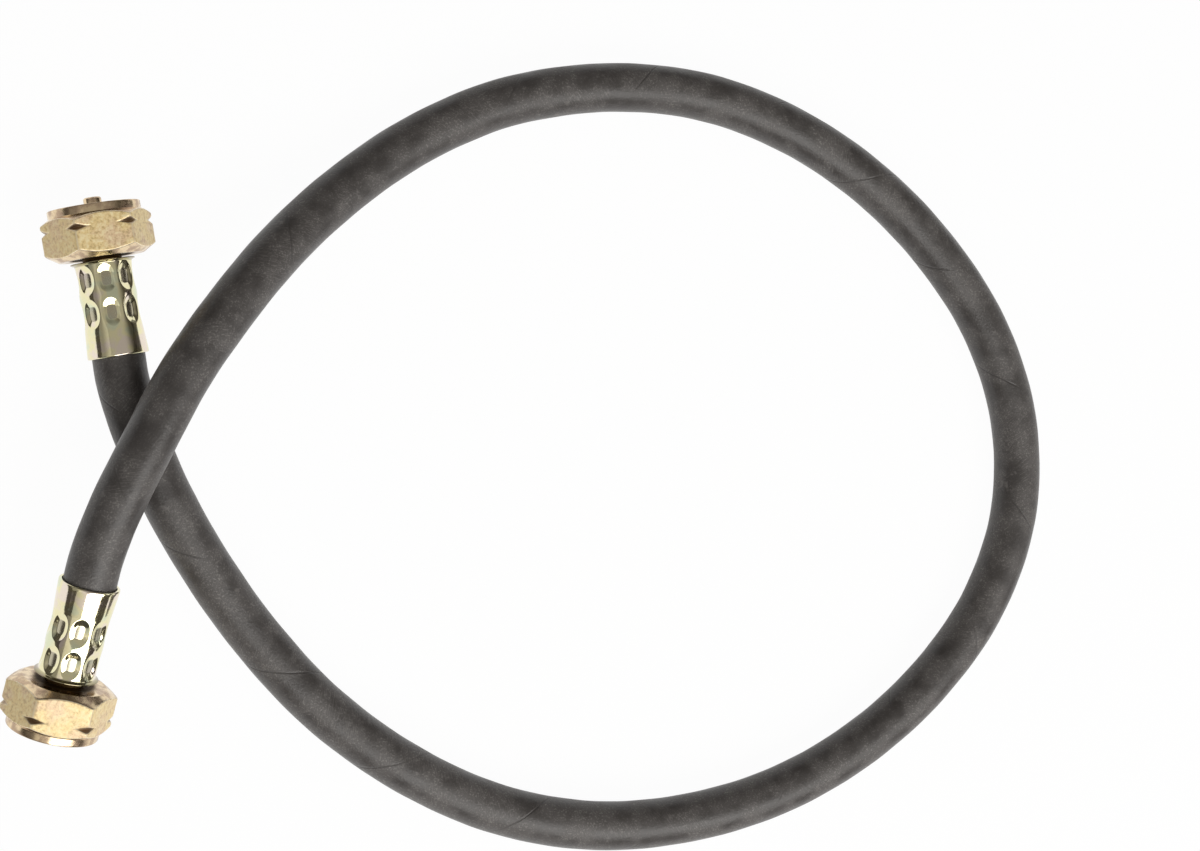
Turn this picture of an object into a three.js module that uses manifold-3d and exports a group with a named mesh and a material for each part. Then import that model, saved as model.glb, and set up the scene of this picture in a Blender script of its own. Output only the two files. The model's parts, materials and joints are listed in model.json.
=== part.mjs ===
// Gas hose with a crimped ferrule and a swivelling union nut at each end.
// Units are millimetres, +Z is up and z = 0 is the surface that the hose lies on.
// The origin is on that surface, under the middle of the two end fittings together.
import * as THREE from 'three';
import { mergeVertices } from 'three/addons/utils/BufferGeometryUtils.js';
import Module from 'manifold-3d';

// Clearances
const seatGap = 0.3;         // between pieces that touch or turn on each other
const surfaceGap = 0.05;     // under the hose where it lies on the surface
const crossingGap = 0.6;     // between the two strands where one passes over the other
const overrun = 1;           // how far a cutting or joining solid runs past the face it meets

// Hose: a thick rubber tube
const hose = {
  outer: 16.3,               // outside diameter
  bore: 6.3,                 // inside diameter
  sides: 12,                 // faces round the outside of the free stretch
  boreSides: 8,
  steps: 78,                 // stations along the free stretch
};

// Ferrule: a pressed steel sleeve, crimped on with two rows of oval punches
const ferrule = {
  length: 29.7,
  wall: 1.1,
  squeeze: 0.45,             // how far its body presses into the rubber, on the radius
  mouthEdge: 0.95,           // wall at the hose end, where the sleeve is opened out
  mouthLength: 1,            // straight edge of that opening
  flareLength: 9.2,          // smooth stretch from the hose end to the crimped body
  lipFlare: 0.35,            // how far the thin lip at the nut end stands out, on the radius
  lipLength: 1.3,
  endWall: 1.4,              // inward wall at the nut end, held in the nipple's groove
  segments: 24,              // three for each crimp mark, which lies on the middle one
};
const crimp = {
  count: 8,                  // punches round the sleeve
  rows: 2,
  rowPitch: 10.4,
  firstRow: 5.6,             // from the nut end to the middle of the first row
  depth: 0.85,
  width: 5.7,                // oval outline of one mark, across the sleeve and along it
  length: 8.4,
  floorWidth: 3.3,           // its flat floor
  floorLength: 4.5,
  points: 10,                // points round the oval
};

// Union nut: a forged hexagon with a turned collar at its open end
const nut = {
  acrossFlats: 30,
  cornerRadius: 3,
  hexLength: 13.5,
  collarInset: 0.8,          // how far the collar stands inside the flats
  collarLength: 2.5,
  chamferAngle: 32,          // degrees, from the end faces
  rearInset: 2,              // how far the rear face stands inside the flats
  rearWall: 3.2,             // wall that pulls against the nipple's flange
  threadBore: 20,            // minor diameter of the internal thread
  reliefDepth: 0.9,          // runout at the bottom of the thread
  reliefLength: 2,
  entryChamfer: 1,
  grooveRise: 0.6,           // bottom of the left-hand mark, out from the flats
  grooveMouth: 2.6,          // width of the mark at the corners of the hexagon
  groovePlace: 9.4,          // from the rear face to the middle of the mark
  backGap: 1,                // from the ferrule to the nut when the nut is drawn back
  travel: 1,                 // how far it can be pushed forward from there
  segments: 36,
};

// Nipple: turned in one piece, from the barbed tail in the hose to the spigot in the nut
const nipple = {
  bore: 3.2,                 // gas bore diameter
  barbHeight: 0.45,          // how far the barbs bite into the bore of the hose
  tailStart: 3,              // tip of the tail, measured in from the ferrule's mouth
  tailPlain: 3,              // plain stretch between the last barb and the shoulder
  barbCount: 4,
  neck: 9.2,                 // bottom diameter of the groove that holds the ferrule
  shoulderHeight: 1.6,       // shoulder that the end of the hose butts on
  shoulderLength: 1.2,
  shank: 12,                 // diameter that the nut turns on
  flangeInset: 0.8,          // how far the flange stands inside the thread of the nut
  flangeThickness: 2.2,
  spigot: 5.5,               // diameter of the pilot that passes through the seal
  spigotReach: 2.7,          // how far it stands out of the nut when the nut is drawn back
  spigotChamfer: 0.4,
  segments: 24,
};

// Seal: a flat rubber ring on the flange, round the spigot
const seal = { edgeInset: 0.3, thickness: 2.2, segments: 32 };

// Each fitting: where its ferrule's mouth lies in plan, the way it points (degrees from +X),
// how far its open end dips (degrees), how far its nut is pushed forward (0 to 1) and how far
// its crimp marks are turned from the top (degrees)
const fittings = [
  { name: 'upper', mouth: [12.3, 34.9], heading: 99.5, dip: 0, push: 0, crimpTurn: -6 },
  { name: 'lower', mouth: [2.4, -34.2], heading: 257.4, dip: 13, push: 1, crimpTurn: 2 },
];

// Route of the hose between the fittings, in plan. The third number is a share of a height:
// 0 on the surface, and 1 level with the upper fitting in upperStrand, or on the crest over
// that strand in crossingStrand.
const upperStrand = [
  [18.5, 11.5, 1], [27, -8.5, 0.84], [40, -31, 0.44], [56.5, -54, 0.07],
];
const loop = [
  [78, -77.5, 0], [106, -98.5, 0], [137, -113.5, 0], [170.5, -121, 0], [205, -120.5, 0],
  [239, -113, 0], [270, -98.5, 0], [297.5, -77.5, 0], [319.5, -50.5, 0], [332, -18.5, 0],
  [332, 16, 0], [320.5, 48, 0], [300, 76, 0], [274, 99, 0], [244, 116, 0],
  [211, 126, 0], [176.5, 127.5, 0], [142.5, 121.5, 0],
];
const crossingStrand = [
  [121, 113, 0.01], [101.5, 102, 0.05], [80, 86, 0.245], [61.5, 69, 0.53], [45, 50, 0.81],
  [30, 29, 0.97], [18, 6.5, 1], [9.2, -12, 0.91],
];

const finish = {
  rubber: new THREE.MeshStandardMaterial({ color: 0x2f2c2a, roughness: 0.7, metalness: 0 }),
  brass: new THREE.MeshStandardMaterial({ color: 0xb08d57, roughness: 0.45, metalness: 1 }),
  turnedBrass: new THREE.MeshStandardMaterial({ color: 0xc2a06a, roughness: 0.25, metalness: 1 }),
  zinc: new THREE.MeshStandardMaterial({ color: 0xc9bd8f, roughness: 0.25, metalness: 1 }),
  sealRubber: new THREE.MeshStandardMaterial({ color: 0x171717, roughness: 0.8, metalness: 0 }),
};

// Sizes that follow from the ones above
const nutLength = nut.hexLength + nut.collarLength;
const nutSlope = Math.tan(THREE.MathUtils.degToRad(nut.chamferAngle));
const collarRadius = nut.acrossFlats / 2 - nut.collarInset;
const shankHole = nipple.shank / 2 + seatGap;
const bodyRadius = hose.outer / 2 + ferrule.wall - ferrule.squeeze;
const bodyInner = bodyRadius - ferrule.wall;
const crimpFloor = bodyInner - crimp.depth;
const mouthInner = hose.outer / 2 + seatGap;

// Places along a fitting, from the mouth of its ferrule towards its open end
const endWallStart = ferrule.length - ferrule.endWall;
const shoulderEnd = endWallStart - seatGap;
const shoulderStart = shoulderEnd - nipple.shoulderLength;
const hoseEnd = shoulderStart - seatGap;
const hoseShoulder = ferrule.mouthLength / 2;
const shankStart = ferrule.length + seatGap;
const flangeStart = ferrule.length + nut.backGap + nut.travel + nut.rearWall + seatGap;
const flangeEnd = flangeStart + nipple.flangeThickness;
const sealStart = flangeEnd + seatGap;
const sealEnd = sealStart + seal.thickness;
const spigotEnd = ferrule.length + nut.backGap + nutLength + nipple.spigotReach;

// A closed geometry as a solid, and a solid back as a geometry
const wasm = await Module();
wasm.setup();

function toSolid(geometry) {
  const bare = geometry.clone();
  bare.deleteAttribute('normal');
  bare.deleteAttribute('uv');
  const merged = mergeVertices(bare);
  return new wasm.Manifold(new wasm.Mesh({
    numProp: 3,
    vertProperties: new Float32Array(merged.attributes.position.array),
    triVerts: new Uint32Array(merged.index.array),
  }));
}

function toGeometry(solid) {
  const mesh = solid.getMesh();
  const geometry = new THREE.BufferGeometry();
  geometry.setAttribute('position', new THREE.BufferAttribute(mesh.vertProperties, 3));
  geometry.setIndex(new THREE.BufferAttribute(mesh.triVerts, 1));
  geometry.computeVertexNormals();
  return geometry;
}

const asPoints = (outline) => outline.map(([radius, at]) => new THREE.Vector2(radius, at));

// A solid turned about local Y, from an outline of [radius, place] that starts and ends on it,
// with the middle of a facet on local X
function turnedSolid(outline, segments) {
  return new THREE.LatheGeometry(asPoints(outline), segments).rotateY(Math.PI / segments);
}

// A ring turned about local Y, from an outline that closes on itself
function turnedRing(outline, segments) {
  const points = asPoints(outline);
  if (THREE.ShapeUtils.isClockWise(points)) points.reverse();
  points.push(points[0].clone());
  return new THREE.LatheGeometry(points, segments);
}

// One oval punch, which points in along local X and has its flat end at the given radius
function punch(floorRadius) {
  const reach = crimp.depth + overrun;
  const widen = (crimp.width - crimp.floorWidth) / 2 / crimp.depth;
  const lengthen = (crimp.length - crimp.floorLength) / 2 / crimp.depth;
  const corners = [];
  for (const rise of [0, reach]) {
    for (let i = 0; i < crimp.points; i += 1) {
      const angle = (i / crimp.points) * Math.PI * 2;
      const along = (crimp.floorLength / 2 + rise * lengthen) * Math.sin(angle);
      const across = (crimp.floorWidth / 2 + rise * widen) * Math.cos(angle);
      corners.push(floorRadius + rise, along, across);
    }
  }
  const faces = [];
  const top = crimp.points;
  for (let i = 0; i < crimp.points; i += 1) {
    const next = (i + 1) % crimp.points;
    faces.push(i, top + next, next, i, top + i, top + next);
    if (i > 0 && next > 0) faces.push(0, i, next, top, top + next, top + i);
  }
  const geometry = new THREE.BufferGeometry();
  geometry.setAttribute('position', new THREE.Float32BufferAttribute(corners, 3));
  geometry.setIndex(faces);
  return geometry;
}

// A turned solid with every punch mark pressed into it, down to the given radius
function crimped(outline, floorRadius) {
  let solid = toSolid(turnedSolid(outline, ferrule.segments));
  for (let row = 0; row < crimp.rows; row += 1) {
    for (let i = 0; i < crimp.count; i += 1) {
      const tool = punch(floorRadius);
      tool.rotateY((i / crimp.count) * Math.PI * 2);
      tool.translate(0, ferrule.length - crimp.firstRow - row * crimp.rowPitch, 0);
      solid = solid.subtract(toSolid(tool));
    }
  }
  return solid;
}

// The sleeve keeps its wall under every mark: the same punches shape it outside and inside
function makeFerrule(turn) {
  const mouthOuter = mouthInner + ferrule.mouthEdge;
  const holeRadius = nipple.neck / 2 + seatGap;
  const skin = crimped([
    [0, 0], [mouthOuter, 0], [mouthOuter, ferrule.mouthLength], [bodyRadius, ferrule.flareLength],
    [bodyRadius, ferrule.length - ferrule.lipLength],
    [bodyRadius + ferrule.lipFlare, ferrule.length], [0, ferrule.length],
  ], bodyRadius - crimp.depth);
  const room = crimped([
    [0, -overrun], [mouthInner, -overrun], [mouthInner, ferrule.mouthLength],
    [bodyInner, ferrule.flareLength], [bodyInner, endWallStart], [0, endWallStart],
  ], crimpFloor);
  const hole = toSolid(turnedSolid([
    [0, endWallStart - overrun], [holeRadius, endWallStart - overrun],
    [holeRadius, ferrule.length + overrun], [0, ferrule.length + overrun],
  ], ferrule.segments));
  const sleeve = toGeometry(skin.subtract(room).subtract(hole));
  sleeve.rotateY(THREE.MathUtils.degToRad(turn));
  return sleeve;
}

function makeNipple() {
  const root = hose.bore / 2;
  const crest = root + nipple.barbHeight;
  const shoulder = nipple.neck / 2 + nipple.shoulderHeight;
  const flange = nut.threadBore / 2 - nipple.flangeInset;
  const pitch = (shoulderStart - nipple.tailPlain - nipple.tailStart) / nipple.barbCount;
  const outline = [[nipple.bore / 2, nipple.tailStart], [root, nipple.tailStart]];
  for (let i = 1; i <= nipple.barbCount; i += 1) {
    const step = nipple.tailStart + i * pitch;
    outline.push([crest, step - pitch / 4], [root, step]);
  }
  outline.push(
    [root, shoulderStart], [shoulder, shoulderStart], [shoulder, shoulderEnd],
    [nipple.neck / 2, shoulderEnd], [nipple.neck / 2, shankStart],
    [nipple.shank / 2, shankStart], [nipple.shank / 2, flangeStart],
    [flange, flangeStart], [flange, flangeEnd],
    [nipple.spigot / 2, flangeEnd], [nipple.spigot / 2, spigotEnd - nipple.spigotChamfer],
    [nipple.spigot / 2 - nipple.spigotChamfer, spigotEnd], [nipple.bore / 2, spigotEnd],
  );
  return turnedRing(outline, nipple.segments);
}

function makeSeal() {
  const inner = nipple.spigot / 2 + seatGap;
  const outer = nut.threadBore / 2 - nipple.flangeInset - seal.edgeInset;
  return turnedRing(
    [[inner, sealStart], [outer, sealStart], [outer, sealEnd], [inner, sealEnd]], seal.segments);
}

const nutStart = (push) => ferrule.length + nut.backGap + push * nut.travel;

// Hexagonal stock with rounded corners, cut to the turned outline with the bore in it
function makeNut(push) {
  const start = nutStart(push);
  const hexEnd = start + nut.hexLength;
  const end = start + nutLength;
  const corner = nut.acrossFlats / Math.sqrt(3);
  const rear = nut.acrossFlats / 2 - nut.rearInset;
  const mark = start + nut.groovePlace;
  const thread = nut.threadBore / 2;
  const threadStart = start + nut.rearWall + nut.reliefLength;
  const outline = turnedRing([
    [shankHole, start], [rear, start], [corner, start + (corner - rear) * nutSlope],
    [corner, mark - nut.grooveMouth / 2], [nut.acrossFlats / 2 + nut.grooveRise, mark],
    [corner, mark + nut.grooveMouth / 2], [corner, hexEnd - (corner - collarRadius) * nutSlope],
    [collarRadius, hexEnd], [collarRadius, end], [thread + nut.entryChamfer, end],
    [thread, end - nut.entryChamfer], [thread, threadStart],
    [thread + nut.reliefDepth, threadStart], [thread + nut.reliefDepth, start + nut.rearWall],
    [shankHole, start + nut.rearWall],
  ], nut.segments);
  const hexagon = new THREE.Shape();
  const cornerCentre = (nut.acrossFlats / 2 - nut.cornerRadius) / Math.cos(Math.PI / 6);
  for (let i = 0; i < 6; i += 1) {
    const angle = (i * Math.PI) / 3;
    hexagon.absarc(
      cornerCentre * Math.cos(angle), cornerCentre * Math.sin(angle), nut.cornerRadius,
      angle - Math.PI / 6, angle + Math.PI / 6, false);
  }
  const stock = new THREE.ExtrudeGeometry(
    hexagon, { depth: nutLength + 2 * overrun, curveSegments: 4, bevelEnabled: false });
  stock.rotateX(-Math.PI / 2);
  stock.translate(0, start - overrun, 0);
  return toGeometry(toSolid(stock).intersect(toSolid(outline)));
}

// The frame of a fitting: local Y runs out along it, and local Z stays uppermost. The nut
// stands on the free end of its bottom flat, where the chamfer begins.
function frameOf(fitting) {
  const heading = THREE.MathUtils.degToRad(fitting.heading);
  const dip = THREE.MathUtils.degToRad(fitting.dip);
  const out = new THREE.Vector3(
    Math.cos(heading) * Math.cos(dip), Math.sin(heading) * Math.cos(dip), -Math.sin(dip));
  const side = new THREE.Vector3().crossVectors(out, new THREE.Vector3(0, 0, 1)).normalize();
  const up = new THREE.Vector3().crossVectors(side, out);
  const footing = nutStart(fitting.push) + nut.hexLength - nut.collarInset * nutSlope;
  const height = (nut.acrossFlats / 2) * Math.cos(dip) + footing * Math.sin(dip);
  const mouth = new THREE.Vector3(...fitting.mouth, height);
  const matrix = new THREE.Matrix4().makeBasis(side, out, up).setPosition(mouth);
  return { mouth, out, matrix };
}

const alongFitting = (frame, place) => frame.mouth.clone().addScaledVector(frame.out, place);

function routeOf([upper, lower]) {
  const surface = hose.outer / 2 + surfaceGap;
  const crest = upper.mouth.z + hose.outer + crossingGap;
  const lift = (points, top) => points.map(
    ([x, y, share]) => new THREE.Vector3(x, y, surface + share * (top - surface)));
  return new THREE.CatmullRomCurve3([
    alongFitting(upper, hoseShoulder), alongFitting(upper, -hose.outer / 2),
    ...lift(upperStrand, upper.mouth.z), ...lift(loop, crest), ...lift(crossingStrand, crest),
    alongFitting(lower, -hose.outer / 2), alongFitting(lower, hoseShoulder),
  ], false, 'centripetal');
}

// The end of the hose inside a ferrule: squeezed outside, and stretched over the barbs inside
function makeHoseEnd(frame) {
  const inner = hose.bore / 2 + nipple.barbHeight + seatGap;
  const loose = bodyInner - seatGap;
  const pressed = crimpFloor - seatGap;
  const end = turnedRing([
    [inner, hoseShoulder - overrun], [loose, hoseShoulder - overrun],
    [loose, ferrule.flareLength - overrun], [pressed, ferrule.flareLength + overrun],
    [pressed, hoseEnd], [inner, hoseEnd],
  ], nipple.segments);
  end.applyMatrix4(frame.matrix);
  return toSolid(end);
}

function makeHose(frames) {
  const ring = (sides, radius) => Array.from({ length: sides }, (_, i) => {
    const angle = (i / sides) * Math.PI * 2;
    return new THREE.Vector2(radius * Math.cos(angle), radius * Math.sin(angle));
  });
  const section = new THREE.Shape(ring(hose.sides, hose.outer / 2));
  section.holes.push(new THREE.Path(ring(hose.boreSides, hose.bore / 2)));
  const tube = new THREE.ExtrudeGeometry(
    section, { steps: hose.steps, extrudePath: routeOf(frames) });
  return toGeometry(frames.reduce((solid, frame) => solid.add(makeHoseEnd(frame)), toSolid(tube)));
}

function makeMesh(name, geometry, material) {
  const mesh = new THREE.Mesh(geometry, material);
  mesh.name = name;
  return mesh;
}

function makeFitting(fitting, frame) {
  const group = new THREE.Group();
  group.add(
    makeMesh(`${fitting.name}_ferrule`, makeFerrule(fitting.crimpTurn), finish.zinc),
    makeMesh(`${fitting.name}_nipple`, makeNipple(), finish.turnedBrass),
    makeMesh(`${fitting.name}_seal_ring`, makeSeal(), finish.sealRubber),
    makeMesh(`${fitting.name}_union_nut`, makeNut(fitting.push), finish.brass),
  );
  group.applyMatrix4(frame.matrix);
  return group;
}

const frames = fittings.map(frameOf);
const assembly = new THREE.Group();
assembly.add(makeMesh('hose', makeHose(frames), finish.rubber));
fittings.forEach((fitting, i) => assembly.add(makeFitting(fitting, frames[i])));
export default assembly;
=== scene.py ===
"""Gas hose: its dressed model, the studio that it lies in and the camera.

Lengths are written in millimetres times MM, so what reaches Blender is in metres. A fitting has
a frame of its own: Y runs out along it from the mouth of its ferrule, and Z is uppermost.
"""

import json
import logging
import math
from collections.abc import Sequence
from dataclasses import dataclass, field
from enum import Enum
from typing import ClassVar

import bpy
import numpy as np
from mathutils import Euler, Matrix, Vector


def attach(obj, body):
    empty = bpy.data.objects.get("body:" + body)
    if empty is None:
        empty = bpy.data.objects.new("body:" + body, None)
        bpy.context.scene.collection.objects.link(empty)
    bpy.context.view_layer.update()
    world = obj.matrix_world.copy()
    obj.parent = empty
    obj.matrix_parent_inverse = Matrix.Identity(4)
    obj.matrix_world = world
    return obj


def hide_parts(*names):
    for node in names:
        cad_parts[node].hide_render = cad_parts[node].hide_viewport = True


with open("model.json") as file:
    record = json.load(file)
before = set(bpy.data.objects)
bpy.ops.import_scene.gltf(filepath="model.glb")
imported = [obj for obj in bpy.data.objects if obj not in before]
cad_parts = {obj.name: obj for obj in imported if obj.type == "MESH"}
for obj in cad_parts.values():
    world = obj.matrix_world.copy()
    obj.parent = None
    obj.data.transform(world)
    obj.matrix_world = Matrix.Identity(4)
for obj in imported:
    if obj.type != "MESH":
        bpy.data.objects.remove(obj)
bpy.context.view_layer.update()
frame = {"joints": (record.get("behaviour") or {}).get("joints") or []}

MM = 0.001
SEAT_GAP = 0.3 * MM
NEARLY_ZERO = 1e-9
log = logging.getLogger("gas_hose")

Colour = tuple[float, float, float]
Point = tuple[float, float, float]
Socket = bpy.types.NodeSocket
Value = Socket | float | Colour


class End(Enum):
    """The two ends of the hose, by the names of their pieces."""

    UPPER = "upper"
    LOWER = "lower"


class Band(Enum):
    """How a stretch of a turned outline is shaped."""

    PLAIN = "plain"
    THREAD = "thread"


class Space(Enum):
    """Which coordinates a texture reads, by the names of Blender's sockets."""

    PIECE = "Object"
    LAY = "UV"


class Worked(Enum):
    """Maps of a surface that its material reads, by their names on the mesh."""

    CUT = "cut"
    CORNER = "corner"
    # Shade painted into recesses and into the gaps between parts.
    PRESSED = "pressed"
    PAINTED_SHADE = "grime"


# Nodes and finishes


@dataclass(frozen=True)
class Ramp:
    """A smooth step from one value to another.

    Attributes:
        low: where the step starts.
        high: where it ends.
        before: the value up to its start.
        after: the value from its end.
    """

    low: float
    high: float
    before: float = 0.0
    after: float = 1.0


class Tree:
    """A material's or the world's node tree, with short calls to fill it."""

    def __init__(self, owner: bpy.types.Material | bpy.types.World) -> None:
        """Empties the owner's tree.

        Args:
            owner: the material or world whose nodes are made.
        """
        owner.use_nodes = True
        self.tree = owner.node_tree
        self.tree.nodes.clear()

    def add(self, kind: str, settings: dict[str, str] | None = None,
            **inputs: Value) -> bpy.types.Node:
        """Adds a node.

        Args:
            kind: the node's Blender type, without its first word ShaderNode.
            settings: properties of the node itself.
            inputs: values or sockets for its inputs, by name, with _ for a space.

        Returns:
            The new node.
        """
        node = self.tree.nodes.new("ShaderNode" + kind)
        for key, value in (settings or {}).items():
            setattr(node, key, value)
        for key, value in inputs.items():
            self.feed(node.inputs[key.replace("_", " ")], value)
        return node

    def feed(self, socket: Socket, value: Value) -> None:
        """Links a socket into an input, or sets the input to a constant.

        Args:
            socket: the input.
            value: a socket, a number or a colour.
        """
        if isinstance(value, Socket):
            self.tree.links.new(value, socket)
        elif isinstance(value, tuple) and socket.type == "RGBA":
            socket.default_value = (*value, 1.0)
        else:
            socket.default_value = value

    def coordinates(self, space: Space = Space.PIECE) -> Socket:
        """Finds where a point of the surface lies.

        Args:
            space: the piece's own coordinates, or those of the hose's lay.

        Returns:
            The coordinates, as a vector.
        """
        if space is Space.LAY:
            return self.add("UVMap", {"uv_map": Hose.LAY_MAP}).outputs["UV"]
        return self.add("TexCoord").outputs[space.value]

    def worked(self, kind: Worked) -> Socket:
        """The value of one of the surface's maps."""
        return self.add("Attribute", {"attribute_name": kind.value}).outputs["Fac"]

    def noise(self, size: float, detail: float, at: Socket | None = None,
              roughness: float = 0.5) -> Socket:
        """Noise whose blots are about the given size.

        Args:
            size: width of a blot in metres.
            detail: octaves of finer noise on it.
            at: coordinates, or None for the piece's own.
            roughness: how strong the finer octaves are.

        Returns:
            A value from 0 to 1.
        """
        where = self.coordinates() if at is None else at
        node = self.add("TexNoise", Vector=where, Scale=1 / size, Detail=detail,
                        Roughness=roughness)
        return node.outputs["Fac"]

    def grade(self, value: Value, ramp: Ramp) -> Socket:
        """Takes a value through a ramp.

        Args:
            value: the value.
            ramp: the step that it follows.

        Returns:
            The graded value.
        """
        node = self.add("MapRange", {"interpolation_type": "SMOOTHSTEP"}, Value=value,
                        From_Min=ramp.low, From_Max=ramp.high, To_Min=ramp.before,
                        To_Max=ramp.after)
        return node.outputs["Result"]

    def maths(self, operation: str, first: Value, second: Value = 0.0) -> Socket:
        """Does one sum on two values.

        Args:
            operation: Blender's name of the sum.
            first: the first value.
            second: the second value, where the sum takes one.

        Returns:
            The answer.
        """
        node = self.add("Math", {"operation": operation})
        self.feed(node.inputs[0], first)
        self.feed(node.inputs[1], second)
        return node.outputs[0]

    def times(self, first: Value, second: Value) -> Socket:
        """One value times another."""
        return self.maths("MULTIPLY", first, second)

    def without(self, value: Value) -> Socket:
        """What is left of 1 without the value."""
        return self.maths("SUBTRACT", 1.0, value)

    def mix(self, share: Value, first: Value, second: Value) -> Socket:
        """Mixes two colours.

        Args:
            share: how much the second colour counts, from 0 to 1.
            first: the first colour.
            second: the second colour.

        Returns:
            The mixed colour.
        """
        node = self.add("Mix", {"data_type": "RGBA"})
        self.feed(node.inputs[0], share)
        self.feed(node.inputs[6], first)
        self.feed(node.inputs[7], second)
        return node.outputs[2]

    def blend(self, share: Value, first: Socket, second: Socket) -> Socket:
        """Blends two shaders.

        Args:
            share: how much the second shader counts, from 0 to 1.
            first: the first shader.
            second: the second shader.

        Returns:
            The blended shader.
        """
        node = self.add("MixShader", Fac=share)
        self.feed(node.inputs[1], first)
        self.feed(node.inputs[2], second)
        return node.outputs["Shader"]

    def relief(self, height: Value, depth: float, over: Socket | None = None) -> Socket:
        """Lets the light fall as on a surface that goes up and down.

        Args:
            height: the height, as a share of the depth.
            depth: the depth in metres.
            over: the normal of a coarser relief below it, or None where there is none.

        Returns:
            The normal.
        """
        node = self.add("Bump", Strength=1.0, Distance=depth, Height=height)
        if over is not None:
            self.feed(node.inputs["Normal"], over)
        return node.outputs["Normal"]


@dataclass(frozen=True)
class Finish:
    """A surface finish. Each kind fills in its own nodes."""

    name: str

    def build(self) -> bpy.types.Material:
        """Makes the material.

        Returns:
            The material, with its nodes in place.
        """
        material = bpy.data.materials.new(self.name)
        tree = Tree(material)
        tree.add("OutputMaterial", Surface=self.shade(tree))
        return material

    def shade(self, tree: Tree) -> Socket:
        """Makes the finish's shader in the tree and returns its socket."""
        raise NotImplementedError


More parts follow.
